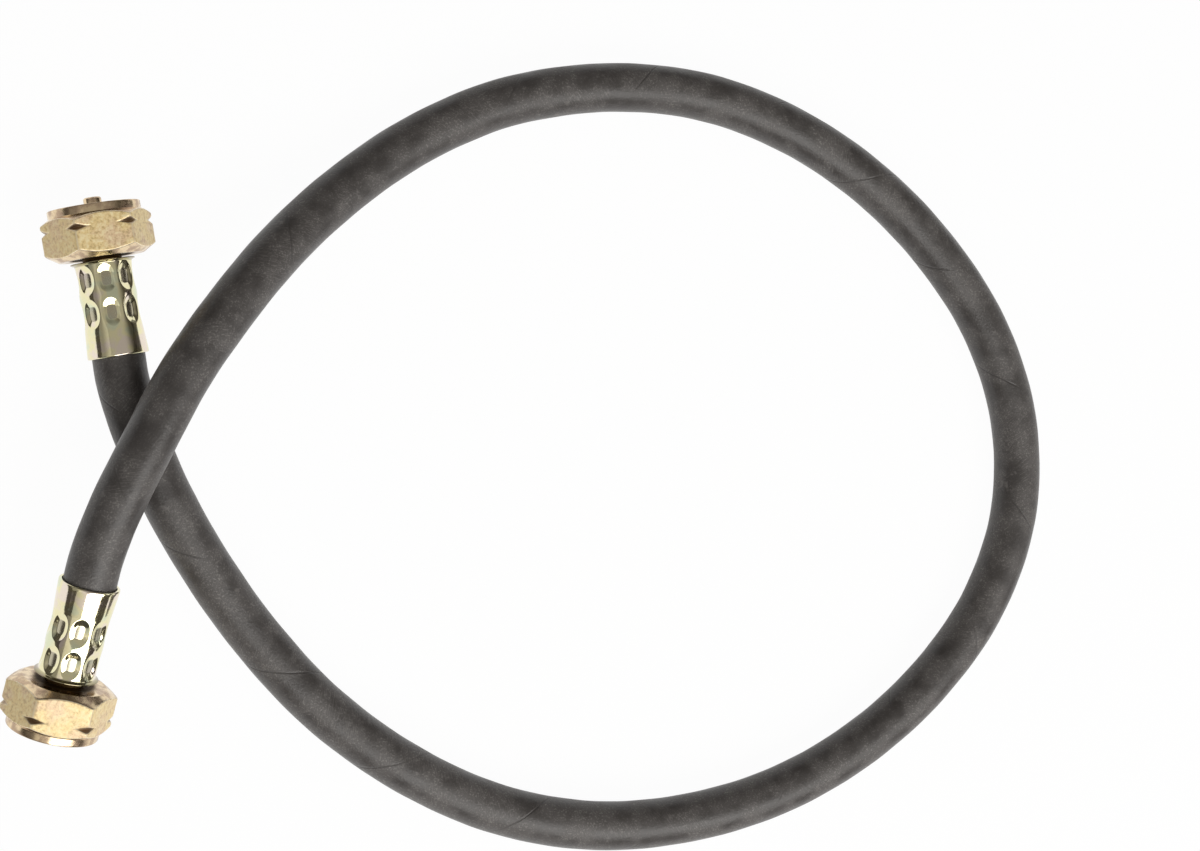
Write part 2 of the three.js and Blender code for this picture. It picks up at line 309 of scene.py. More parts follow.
@dataclass(frozen=True)
class HoseRubber(Finish):
    """Black rubber with light specks, fine slanting strokes from its wrapping, and scuffs."""

    dark: Colour = (0.045, 0.040, 0.038)
    light: Colour = (0.090, 0.083, 0.080)
    patch_size: float = 9 * MM
    patch_ramp: Ramp = Ramp(0.30, 0.70)
    grain_size: float = 0.7 * MM
    grain_depth: float = 0.10 * MM
    speck: Colour = (0.250, 0.238, 0.224)
    speck_size: float = 0.55 * MM
    speck_ramp: Ramp = Ramp(0.54, 0.68)
    speck_crowding: Ramp = Ramp(0.38, 0.62, 0.2, 1.0)
    speck_share: float = 0.5
    scuff: Colour = (0.205, 0.192, 0.182)
    scuff_size: float = 5 * MM
    scuff_harshness: float = 0.75
    scuff_ramp: Ramp = Ramp(0.60, 0.70)
    scuff_share: float = 0.45
    circumference: float = 51.2 * MM
    stroke_slant: float = math.radians(58)
    stroke_length: float = 3.2 * MM
    stroke_width: float = 0.34 * MM
    stroke_ramp: Ramp = Ramp(0.53, 0.66)
    stroke_patch_size: float = 18 * MM
    stroke_patch_ramp: Ramp = Ramp(0.44, 0.60)
    stroke_share: float = 0.32
    wrap_pitch: float = 47 * MM
    wrap_ramp: Ramp = Ramp(0.0, 0.014, 1.0, 0.0)
    wrap_wear_size: float = 20 * MM
    wrap_wear_ramp: Ramp = Ramp(0.45, 0.60)
    wrap_share: float = 0.85
    wrap_height: float = 1.2
    roughness: Ramp = Ramp(0.35, 0.65, 0.37, 0.52)
    specular: float = 0.48
    sheen: float = 0.20
    sheen_roughness: float = 0.45

    def specks(self, tree: Tree, patches: Socket) -> Socket:
        """Light specks, closer together in some patches than in others."""
        specks = tree.grade(tree.noise(self.speck_size, detail=2), self.speck_ramp)
        return tree.times(specks, tree.grade(patches, self.speck_crowding))

    def strokes(self, tree: Tree, along: Socket, around: Socket) -> Socket:
        """Slanting strokes in patches: noise that is long one way and narrow the other.

        Args:
            tree: the material's tree.
            along: distance along the hose.
            around: distance round it.

        Returns:
            A value from 0 to 1.
        """
        cosine, sine = math.cos(self.stroke_slant), math.sin(self.stroke_slant)
        long = tree.maths("ADD", tree.times(along, cosine / self.stroke_length),
                          tree.times(around, sine / self.stroke_length))
        wide = tree.maths("SUBTRACT", tree.times(around, cosine / self.stroke_width),
                          tree.times(along, sine / self.stroke_width))
        where = tree.add("CombineXYZ", X=long, Y=wide).outputs["Vector"]
        strokes = tree.grade(tree.noise(1.0, detail=2, at=where), self.stroke_ramp)
        patches = tree.noise(self.stroke_patch_size, detail=2)
        return tree.times(strokes, tree.grade(patches, self.stroke_patch_ramp))

    def wrap_line(self, tree: Tree, along: Socket, turn: Socket) -> Socket:
        """The line that winds round the hose where its wrapping overlapped, worn off in places.

        Args:
            tree: the material's tree.
            along: distance along the hose.
            turn: share of a turn round it.

        Returns:
            A value from 0 to 1.
        """
        turns = tree.maths("DIVIDE", along, self.wrap_pitch)
        wrap = tree.maths("FRACT", tree.maths("ADD", turns, turn))
        offset = tree.maths("ABSOLUTE", tree.maths("SUBTRACT", wrap, 0.5))
        worn = tree.grade(tree.noise(self.wrap_wear_size, detail=1), self.wrap_wear_ramp)
        return tree.times(tree.grade(offset, self.wrap_ramp), worn)

    def shade(self, tree: Tree) -> Socket:
        """Makes patchy rubber and lays its specks, strokes, scuffs and wrap line over it.

        Args:
            tree: the material's tree.

        Returns:
            The shader.
        """
        patches = tree.noise(self.patch_size, detail=3)
        lay = tree.add("SeparateXYZ", Vector=tree.coordinates(Space.LAY)).outputs
        around = tree.times(lay["Y"], self.circumference)
        scuffs = tree.noise(self.scuff_size, detail=5, roughness=self.scuff_harshness)
        line = self.wrap_line(tree, lay["X"], lay["Y"])
        colour = tree.mix(tree.grade(patches, self.patch_ramp), self.dark, self.light)
        for mark, share, paint in (
                (self.specks(tree, patches), self.speck_share, self.speck),
                (self.strokes(tree, lay["X"], around), self.stroke_share, self.scuff),
                (tree.grade(scuffs, self.scuff_ramp), self.scuff_share, self.scuff),
                (line, self.wrap_share, self.dark)):
            colour = tree.mix(tree.times(mark, share), colour, paint)
        grain = tree.noise(self.grain_size, detail=2)
        height = tree.maths("SUBTRACT", grain, tree.times(line, self.wrap_height))
        shader = tree.add(
            "BsdfPrincipled", Base_Color=colour, Normal=tree.relief(height, self.grain_depth),
            Roughness=tree.grade(patches, self.roughness), Specular_IOR_Level=self.specular,
            Sheen_Weight=self.sheen, Sheen_Roughness=self.sheen_roughness)
        return shader.outputs["BSDF"]


@dataclass(frozen=True)
class ZincPlate(Finish):
    """Bright zinc plate with a thin passivation that shimmers yellow, rose and green."""

    yellow: Colour = (0.86, 0.80, 0.51)
    rose: Colour = (0.84, 0.74, 0.63)
    green: Colour = (0.74, 0.77, 0.55)
    tint_size: float = 6 * MM
    yellow_ramp: Ramp = Ramp(0.36, 0.50)
    green_ramp: Ramp = Ramp(0.52, 0.66)
    ripple_size: float = 1.6 * MM
    ripple_depth: float = 0.012 * MM
    haze_size: float = 0.25 * MM
    floor: Colour = (0.36, 0.32, 0.27)
    floor_ramp: Ramp = Ramp(0.93, 1.0)
    floor_share: float = 0.65
    floor_dulling: float = 0.12
    # Dark brown of the shade painted towards the lip, by the gap to the nut.
    grime: Colour = (0.12, 0.085, 0.040)
    roughness: Ramp = Ramp(0.4, 0.75, 0.07, 0.19)

    def shade(self, tree: Tree) -> Socket:
        """Makes plate over the faint ripple of drawn steel, dull on the punched floors.

        Args:
            tree: the material's tree.

        Returns:
            The shader.
        """
        tint = tree.noise(self.tint_size, detail=2)
        colour = tree.mix(tree.grade(tint, self.yellow_ramp), self.rose, self.yellow)
        colour = tree.mix(tree.grade(tint, self.green_ramp), colour, self.green)
        floor = tree.grade(tree.worked(Worked.PRESSED), self.floor_ramp)
        colour = tree.mix(tree.times(floor, self.floor_share), colour, self.floor)
        # Painted shade: dark brown towards the lip, where the mesh's shade map lies.
        colour = tree.mix(tree.worked(Worked.PAINTED_SHADE), colour, self.grime)
        ripple = tree.relief(tree.noise(self.ripple_size, detail=1), self.ripple_depth)
        haze = tree.grade(tree.noise(self.haze_size, detail=3), self.roughness)
        rough = tree.maths("ADD", haze, tree.times(floor, self.floor_dulling))
        shader = tree.add("BsdfPrincipled", Base_Color=colour, Metallic=1.0, Normal=ripple,
                          Roughness=rough)
        return shader.outputs["BSDF"]


@dataclass(frozen=True)
class ForgedBrass(Finish):
    """Forged brass, grainy from blasting, olive-gold with rosy tarnish."""

    gold: Colour = (0.86, 0.66, 0.32)
    rosy: Colour = (0.80, 0.585, 0.36)
    pale: Colour = (0.97, 0.86, 0.56)
    pit: Colour = (0.42, 0.29, 0.13)
    metal: float = 0.18
    tarnish_size: float = 8 * MM
    tarnish_ramp: Ramp = Ramp(0.46, 0.66)
    grain_size: float = 1.1 * MM
    grain_harshness: float = 0.65
    grain_depth: float = 0.12 * MM
    pale_ramp: Ramp = Ramp(0.47, 0.62, 0.0, 0.6)
    pit_ramp: Ramp = Ramp(0.36, 0.48, 0.5, 0.0)
    dent_size: float = 2.2 * MM
    dent_depth: float = 0.07 * MM
    roughness: Ramp = Ramp(0.35, 0.65, 0.34, 0.47)

    def shade(self, tree: Tree) -> Socket:
        """Makes brass with pale grains that stand out of the tarnish, and dark pits.

        Args:
            tree: the material's tree.

        Returns:
            The shader.
        """
        tarnish = tree.noise(self.tarnish_size, detail=3)
        grain = tree.noise(self.grain_size, detail=4, roughness=self.grain_harshness)
        colour = tree.mix(tree.grade(tarnish, self.tarnish_ramp), self.gold, self.rosy)
        colour = tree.mix(tree.grade(grain, self.pale_ramp), colour, self.pale)
        colour = tree.mix(tree.grade(grain, self.pit_ramp), colour, self.pit)
        dents = tree.relief(tree.noise(self.dent_size, detail=2), self.dent_depth)
        shader = tree.add("BsdfPrincipled", Base_Color=colour, Metallic=self.metal,
                          Normal=tree.relief(grain, self.grain_depth, dents),
                          Roughness=tree.grade(grain, self.roughness))
        return shader.outputs["BSDF"]


@dataclass(frozen=True)
class TurnedBrass(Finish):
    """Turned brass with tarnish, the rings that the tool leaves, and painted shade in recesses."""

    clean: Colour = (0.82, 0.65, 0.42)
    tarnish: Colour = (0.52, 0.38, 0.26)
    tarnish_size: float = 3.2 * MM
    tarnish_ramp: Ramp = Ramp(0.38, 0.60)
    # Colour of the shade painted into recesses and gaps, and how much duller the surface gets
    # there.
    grime: Colour = (0.13, 0.078, 0.028)
    painted_shade_dulling: float = 0.35
    ring_size: float = 0.18 * MM
    ring_depth: float = 0.006 * MM
    roughness: Ramp = Ramp(0.35, 0.70, 0.16, 0.32)

    def rings(self, tree: Tree) -> Socket:
        """Fine noise that only changes away from the axis and along it.

        Args:
            tree: the material's tree.

        Returns:
            A value from 0 to 1.
        """
        place = tree.add("SeparateXYZ", Vector=tree.coordinates()).outputs
        squares = [tree.times(place[axis], place[axis]) for axis in "XZ"]
        radius = tree.maths("SQRT", tree.maths("ADD", *squares))
        where = tree.add("CombineXYZ", X=radius, Y=place["Y"]).outputs["Vector"]
        return tree.noise(self.ring_size, detail=2, at=where)

    def shade(self, tree: Tree) -> Socket:
        """Makes turned brass, dark and dull where shade is painted.

        Args:
            tree: the material's tree.

        Returns:
            The shader.
        """
        blots = tree.noise(self.tarnish_size, detail=4)
        painted_shade_mask = tree.worked(Worked.PAINTED_SHADE)
        # Painted shade: darker and rougher where the mesh's shade map lies.
        colour = tree.mix(tree.grade(blots, self.tarnish_ramp), self.clean, self.tarnish)
        colour = tree.mix(painted_shade_mask, colour, self.grime)
        rough = tree.maths("ADD", tree.grade(blots, self.roughness),
                           tree.times(painted_shade_mask, self.painted_shade_dulling))
        shader = tree.add("BsdfPrincipled", Base_Color=colour, Metallic=1.0, Roughness=rough,
                          Normal=tree.relief(self.rings(tree), self.ring_depth))
        return shader.outputs["BSDF"]


@dataclass(frozen=True)
class NutBrass(Finish):
    """Brass of a forged nut: grainy flats, turned cuts, and bright edges between them."""

    forged: ForgedBrass = ForgedBrass("forged")
    turned: TurnedBrass = TurnedBrass("turned")
    turned_ramp: Ramp = Ramp(-0.10, 0.10)
    worn: Colour = (0.95, 0.82, 0.58)
    worn_metal: float = 0.45
    worn_roughness: float = 0.28
    worn_size: float = 2 * MM
    worn_ramp: Ramp = Ramp(0.30, 0.48)
    edge_ramp: Ramp = Ramp(0.0, 0.36, 0.9, 0.0)
    corner_ramp: Ramp = Ramp(0.5, 1.0, 0.0, 0.8)

    def wear(self, tree: Tree, cut: Socket, turned: Socket) -> Socket:
        """Finds where the metal is rubbed bright, along each cut and on the forged corners.

        Args:
            tree: the material's tree.
            cut: the map of how deep the turned outline cuts into the hexagon.
            turned: how much of the surface is turned.

        Returns:
            A value from 0 to 1.
        """
        edge = tree.grade(tree.maths("ABSOLUTE", cut), self.edge_ramp)
        corner = tree.grade(tree.worked(Worked.CORNER), self.corner_ramp)
        rubbed = tree.maths("MAXIMUM", edge, tree.times(corner, tree.without(turned)))
        spots = tree.grade(tree.noise(self.worn_size, detail=3), self.worn_ramp)
        # No wear shows where shade is painted.
        clean = tree.without(tree.worked(Worked.PAINTED_SHADE))
        return tree.times(tree.times(rubbed, spots), clean)

    def shade(self, tree: Tree) -> Socket:
        """Makes the forged and the turned surface, each where it shows, and the worn edges.

        Args:
            tree: the material's tree.

        Returns:
            The shader.
        """
        cut = tree.worked(Worked.CUT)
        turned = tree.grade(cut, self.turned_ramp)
        both = tree.blend(turned, self.forged.shade(tree), self.turned.shade(tree))
        bright = tree.add("BsdfPrincipled", Base_Color=self.worn, Metallic=self.worn_metal,
                          Roughness=self.worn_roughness)
        return tree.blend(self.wear(tree, cut, turned), both, bright.outputs["BSDF"])


@dataclass(frozen=True)
class SealRubber(Finish):
    """Dense black rubber of the flat seal, with a bloom of dust."""

    black: Colour = (0.014, 0.014, 0.014)
    bloom: Colour = (0.045, 0.044, 0.042)
    bloom_size: float = 2.5 * MM
    bloom_ramp: Ramp = Ramp(0.45, 0.70, 0.0, 0.7)
    grain_size: float = 0.3 * MM
    grain_depth: float = 0.02 * MM
    roughness: Ramp = Ramp(0.0, 0.7, 0.55, 0.8)

    def shade(self, tree: Tree) -> Socket:
        """Makes rubber that dust greys in patches.

        Args:
            tree: the material's tree.

        Returns:
            The shader.
        """
        bloom = tree.grade(tree.noise(self.bloom_size, detail=3), self.bloom_ramp)
        colour = tree.mix(bloom, self.black, self.bloom)
        grain = tree.relief(tree.noise(self.grain_size, detail=2), self.grain_depth)
        shader = tree.add("BsdfPrincipled", Base_Color=colour, Normal=grain,
                          Roughness=tree.grade(bloom, self.roughness))
        return shader.outputs["BSDF"]


@dataclass(frozen=True)
class PaleSheet(Finish):
    """White sheet that the hose lies on. What looks at it straight or by reflection sees white."""

    paint: Colour = (0.86, 0.86, 0.86)
    white: Colour = (1.0, 1.0, 1.0)
    glow_share: float = 0.97

    def shade(self, tree: Tree) -> Socket:
        """Makes a diffuse sheet that mostly glows white to camera, glossy and transmission rays.

        Args:
            tree: the material's tree.

        Returns:
            The shader.
        """
        rays = tree.add("LightPath").outputs
        seen = tree.maths("ADD", rays["Is Camera Ray"], rays["Is Glossy Ray"])
        seen = tree.maths("ADD", seen, rays["Is Transmission Ray"])
        share = tree.times(tree.maths("MINIMUM", seen, 1.0), self.glow_share)
        glow = tree.add("Emission", Color=self.white, Strength=1.0)
        paper = tree.add("BsdfDiffuse", Color=self.paint)
        return tree.blend(share, paper.outputs["BSDF"], glow.outputs["Emission"])


@dataclass(frozen=True)
class FinishSet:
    """One material of each finish, made once and shared by the pieces."""

    rubber: bpy.types.Material
    zinc: bpy.types.Material
    nut: bpy.types.Material
    turned: bpy.types.Material
    seal: bpy.types.Material

    @classmethod
    def mixed(cls) -> "FinishSet":
        """Makes the five materials."""
        return cls(HoseRubber("hose_rubber").build(), ZincPlate("zinc_plate").build(),
                   NutBrass("nut_brass").build(), TurnedBrass("turned_brass").build(),
                   SealRubber("seal_rubber").build())


# Outlines and meshes


@dataclass(frozen=True)
class Corner:
    """One corner of a turned outline.

    Attributes:
        radius: distance from the axis.
        place: place along the axis.
        fillet: radius that rounds the corner, or 0 for a sharp one.
        step: spacing of the rows on the straight that follows.
        band: how that straight is shaped, where a piece has several ways.
    """

    radius: float
    place: float
    fillet: float = 0.0
    step: float = 1.0 * MM
    band: Band = Band.PLAIN


def rounded_corner(before: np.ndarray, here: np.ndarray, after: np.ndarray, fillet: float,
                   pieces: int = 4, reach_share: float = 0.45,
                   nearly_straight: float = math.radians(89)) -> np.ndarray:
    """The arc that rounds a corner.

    Args:
        before: the corner before it.
        here: the corner itself.
        after: the corner after it.
        fillet: the arc's radius, made smaller where the straights are short.
        pieces: how many straights the arc has.
        reach_share: the largest share of a straight that the arc takes.
        nearly_straight: half the corner's angle from which it needs no arc.

    Returns:
        The arc's points, or the corner alone where it needs no arc.
    """
    legs = np.array([before - here, after - here])
    lengths = np.linalg.norm(legs, axis=1)
    legs /= lengths[:, None]
    half = math.acos(max(-1.0, min(1.0, float(legs[0] @ legs[1])))) / 2
    if fillet <= 0 or half > nearly_straight:
        return here[None]
    reach = min(fillet / math.tan(half), reach_share * float(lengths.min()))
    radius = reach * math.tan(half)
    inward = legs.sum(axis=0)
    centre = here + inward / np.linalg.norm(inward) * radius / math.sin(half)
    first, last = (here + leg * reach - centre for leg in legs)
    turn = math.pi - 2 * half
    share = np.linspace(0, 1, pieces + 1)[:, None]
    return centre + (np.sin((1 - share) * turn) * first
                     + np.sin(share * turn) * last) / math.sin(turn)


def rows_of(corners: Sequence[Corner]) -> tuple[np.ndarray, list[Band]]:
    """Traces a closed outline into rows.

    Args:
        corners: the outline's corners in order.

    Returns:
        The rows as (radius, place), and the band that each row lies on.
    """
    spots = [np.array([c.radius, c.place]) for c in corners]
    count = len(corners)
    arcs = [rounded_corner(spots[i - 1], spots[i], spots[(i + 1) % count], corners[i].fillet)
            for i in range(count)]
    rows, bands = [], []
    for i, corner in enumerate(corners):
        start, end = arcs[i][-1], arcs[(i + 1) % count][0]
        splits = max(1, round(float(np.linalg.norm(end - start)) / corner.step))
        share = np.arange(1, splits)[:, None] / splits
        stretch = np.vstack([arcs[i], start + share * (end - start)])
        rows.append(stretch)
        bands += [corner.band] * len(stretch)
    return np.vstack(rows), bands


def turned_grid(radii: np.ndarray, places: np.ndarray,
                angles: np.ndarray | None = None) -> np.ndarray:
    """Points of a turned piece.

    Args:
        radii: the radius at each row and column.
        places: the place of each row along the axis, or of each row and column.
        angles: the angle of each column, or None where they are evenly spaced.

    Returns:
        The points, by row and column, with the columns running from +Z towards +X.
    """
    if angles is None:
        angles = np.arange(radii.shape[1]) / radii.shape[1] * 2 * math.pi
    along = np.broadcast_to(places.reshape(len(radii), -1), radii.shape)
    return np.stack([radii * np.sin(angles), along, radii * np.cos(angles)], axis=2)


def lay_map(lay: np.ndarray, columns: int, flipped: bool) -> np.ndarray:
    """Where each corner of a grid's faces lies along the piece and round it.

    Args:
        lay: distance along the piece at each row.
        columns: how many columns the grid has.
        flipped: whether the faces list their corners the other way round.

    Returns:
        The distance and the share of a turn, by row, column and corner.
    """
    rows = len(lay)
    along = np.append(lay, lay[0])
    turn = np.arange(columns + 1) / columns
    corners = [(0, 0), (1, 0), (1, 1), (0, 1)]
    if flipped:
        corners.reverse()
    return np.stack([np.stack(np.broadcast_arrays(
        along[down:down + rows, None], turn[None, over:over + columns]), axis=2)
        for down, over in corners], axis=2)


def ring_mesh(name: str, grid: np.ndarray, lay: np.ndarray | None = None,
              maps: dict[Worked, np.ndarray] | None = None) -> bpy.types.Object:
    """A closed piece from a grid whose rows and columns both close on themselves.

    Args:
        name: the piece's name.
        grid: its points, by row and column.
        lay: distance along the piece at each row, where its material reads the lay.
        maps: values at each row and column that the material reads.

    Returns:
        The new object, linked to the scene, at the origin.
    """
    rows, columns = grid.shape[:2]
    index = np.arange(rows * columns).reshape(rows, columns)
    down = np.roll(index, -1, axis=0)
    quads = np.stack([index, down, np.roll(down, -1, axis=1), np.roll(index, -1, axis=1)], axis=2)
    points = grid.reshape(-1, 3)
    faces = quads.reshape(-1, 4)
    a, b, c, d = (points[faces[:, k]] for k in range(4))
    inside_out = np.sum(a * np.cross(b, c)) + np.sum(a * np.cross(c, d)) < 0
    if inside_out:
        faces = faces[:, ::-1]
    mesh = bpy.data.meshes.new(name)
    mesh.from_pydata(points.tolist(), [], faces.tolist())
    if lay is not None:
        spots = lay_map(lay, columns, inside_out)
        mesh.uv_layers.new(name=Hose.LAY_MAP).data.foreach_set("uv", spots.reshape(-1))
    for kind, values in (maps or {}).items():
        layer = mesh.attributes.new(kind.value, "FLOAT", "POINT")
        layer.data.foreach_set("value", np.broadcast_to(values, (rows, columns)).reshape(-1))
    mesh.polygons.foreach_set("use_smooth", [True] * len(mesh.polygons))
    mesh.validate()
    mesh.update()
    piece = bpy.data.objects.new(name, mesh)
    bpy.context.scene.collection.objects.link(piece)
    return piece


def dress(piece: bpy.types.Object, body: str, node: str,
          material: bpy.types.Material) -> bpy.types.Object:
    """Gives a piece its material and its place in the frame.

    Args:
        piece: the piece, already where it lies.
        body: the body that it rides on.
        node: the node that it stands for.
        material: its material.

    Returns:
        The piece.
    """
    piece.data.materials.append(material)
    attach(piece, body)
    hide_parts(node)
    return piece


# Sub-assemblies


@dataclass(frozen=True)
class Ferrule:
    """Pressed steel sleeve, crimped on with two rows of oval punches."""

    hose_outer: float = 16.3 * MM
    length: float = 29.7 * MM
    wall: float = 1.1 * MM
    squeeze: float = 0.45 * MM
    mouth_edge: float = 0.95 * MM
    mouth_length: float = 1 * MM
    flare_length: float = 9.2 * MM
    lip_flare: float = 1.05 * MM
    lip_length: float = 0.8 * MM
    lip_edge: float = 0.32 * MM
    end_wall: float = 1.4 * MM
    neck: float = 9.2 * MM
    punches: int = 8
    punch_rows: int = 2
    row_pitch: float = 10.4 * MM
    first_row: float = 5.6 * MM
    depth: float = 0.85 * MM
    mark_width: float = 6.1 * MM
    mark_length: float = 9.0 * MM
    floor_width: float = 3.1 * MM
    floor_length: float = 4.3 * MM
    floor_squareness: int = 4
    slope_softness: float = 0.15
    draw_in: float = 0.05 * MM
    draw_reach: float = 1.3 * MM
    edge: float = 0.22 * MM
    # Shade painted towards the lip, beside the gap to the nut.
    painted_shade_reach: float = 1.1 * MM
    painted_shade_share: float = 0.85
    columns: int = 264

    @property
    def body_radius(self) -> float:
        """Outside radius of the crimped body."""
        return self.hose_outer / 2 + self.wall - self.squeeze

    @property
    def body_inner(self) -> float:
        """Inside radius of the crimped body."""
        return self.body_radius - self.wall

    @property
    def mouth_inner(self) -> float:
        """Inside radius of the mouth, just clear of the hose."""
        return self.hose_outer / 2 + SEAT_GAP

    @property
    def pressed_inner(self) -> float:
        """Inside radius under the floor of a mark."""
        return self.body_inner - self.depth

    def outline(self) -> list[Corner]:
        """The sleeve's outline without its marks.

        Returns:
            Its corners, from the mouth outside and back through the inside.
        """
        fine, coarse = 0.17 * MM, 0.6 * MM
        hole = self.neck / 2 + SEAT_GAP
        wall_start = self.length - self.end_wall
        mouth = self.mouth_inner + self.mouth_edge
        lip = self.body_radius + self.lip_flare
        return [
            Corner(self.mouth_inner, 0, fillet=0.15 * MM, step=0.3 * MM),
            Corner(mouth, 0, fillet=0.45 * MM, step=fine),
            Corner(mouth, self.mouth_length, fillet=4 * MM, step=fine),
            Corner(self.body_radius, self.flare_length, fillet=6 * MM, step=fine),
            Corner(self.body_radius, self.length - self.lip_length, fillet=0.35 * MM, step=fine),
            Corner(lip, self.length - self.lip_edge, fillet=0.08 * MM, step=fine),
            Corner(lip, self.length, fillet=0.12 * MM, step=0.5 * MM),
            Corner(hole, self.length, fillet=0.25 * MM, step=0.4 * MM),
            Corner(hole, wall_start, fillet=0.25 * MM, step=0.5 * MM),
            Corner(self.body_inner, wall_start, fillet=0.4 * MM, step=coarse),
            Corner(self.body_inner, self.flare_length, fillet=5 * MM, step=coarse),
            Corner(self.mouth_inner, self.mouth_length, fillet=1 * MM, step=0.4 * MM),
        ]

    def mark_depths(self, radii: np.ndarray, places: np.ndarray, turn: float) -> np.ndarray:
        """How far the punches press the sleeve in.

        Args:
            radii: the outline's radius at each row.
            places: its place at each row.
            turn: the angle of one mark from the top, in radians.

        Returns:
            The depth at each row and column.
        """
        angles = np.arange(self.columns) / self.columns * 2 * math.pi
        pitch = 2 * math.pi / self.punches
        around = (angles - turn + pitch / 2) % pitch - pitch / 2
        across = np.broadcast_to(around * self.body_radius, (len(places), self.columns))
        depths = np.zeros_like(across)
        for row in range(self.punch_rows):
            middle = self.length - self.first_row - row * self.row_pitch
            along = (places - middle)[:, None]
            rim = np.hypot(across / (self.mark_width / 2), along / (self.mark_length / 2))
            power = self.floor_squareness
            floor = ((np.abs(across) / (self.floor_width / 2)) ** power
                     + (np.abs(along) / (self.floor_length / 2)) ** power) ** (1 / power)
            inside = np.clip(1 - rim, 0, None) * self.mark_width / 2
            outside = np.clip(floor - 1, 0, None) * self.floor_width / 2
            share = inside / np.maximum(inside + outside, NEARLY_ZERO)
            pressed = self.depth * self.eased(share)
            beyond = np.clip((rim - 1) * self.mark_width / 2 / self.draw_reach, 0, 1)
            depths = np.maximum(depths, pressed + self.draw_in * (1 - beyond) ** 2)
        sleeve = (radii > self.pressed_inner) & (places > 0) & (places < self.length - self.edge)
        fade = np.clip((self.length - self.lip_length / 2 - places) / self.lip_length, 0, 1)
        return depths * (sleeve * fade)[:, None]

    def eased(self, share: np.ndarray) -> np.ndarray:
        """Rounds the rim and the foot of a mark's slope."""
        smooth = share * share * (3 - 2 * share)
        return (1 - self.slope_softness) * share + self.slope_softness * smooth

    def build(self, name: str, turn: float) -> bpy.types.Object:
        """Builds the sleeve in its fitting's frame.

        Args:
            name: the piece's name.
            turn: the angle of one mark from the top, in radians.

        Returns:
            The sleeve, with the maps of its marks and of the shade painted towards its lip.
        """
        rows, _ = rows_of(self.outline())
        radii, places = rows[:, 0], rows[:, 1]
        depths = self.mark_depths(radii, places, turn)
        # Painted shade, darkest at the lip.
        grime = np.clip((places - self.length + self.painted_shade_reach) / self.painted_shade_reach, 0, 1)
        return ring_mesh(name, turned_grid(radii[:, None] - depths, places), maps={
            Worked.PRESSED: depths / (self.depth + self.draw_in),
            Worked.PAINTED_SHADE: self.painted_shade_share * np.sqrt(grime)[:, None]})


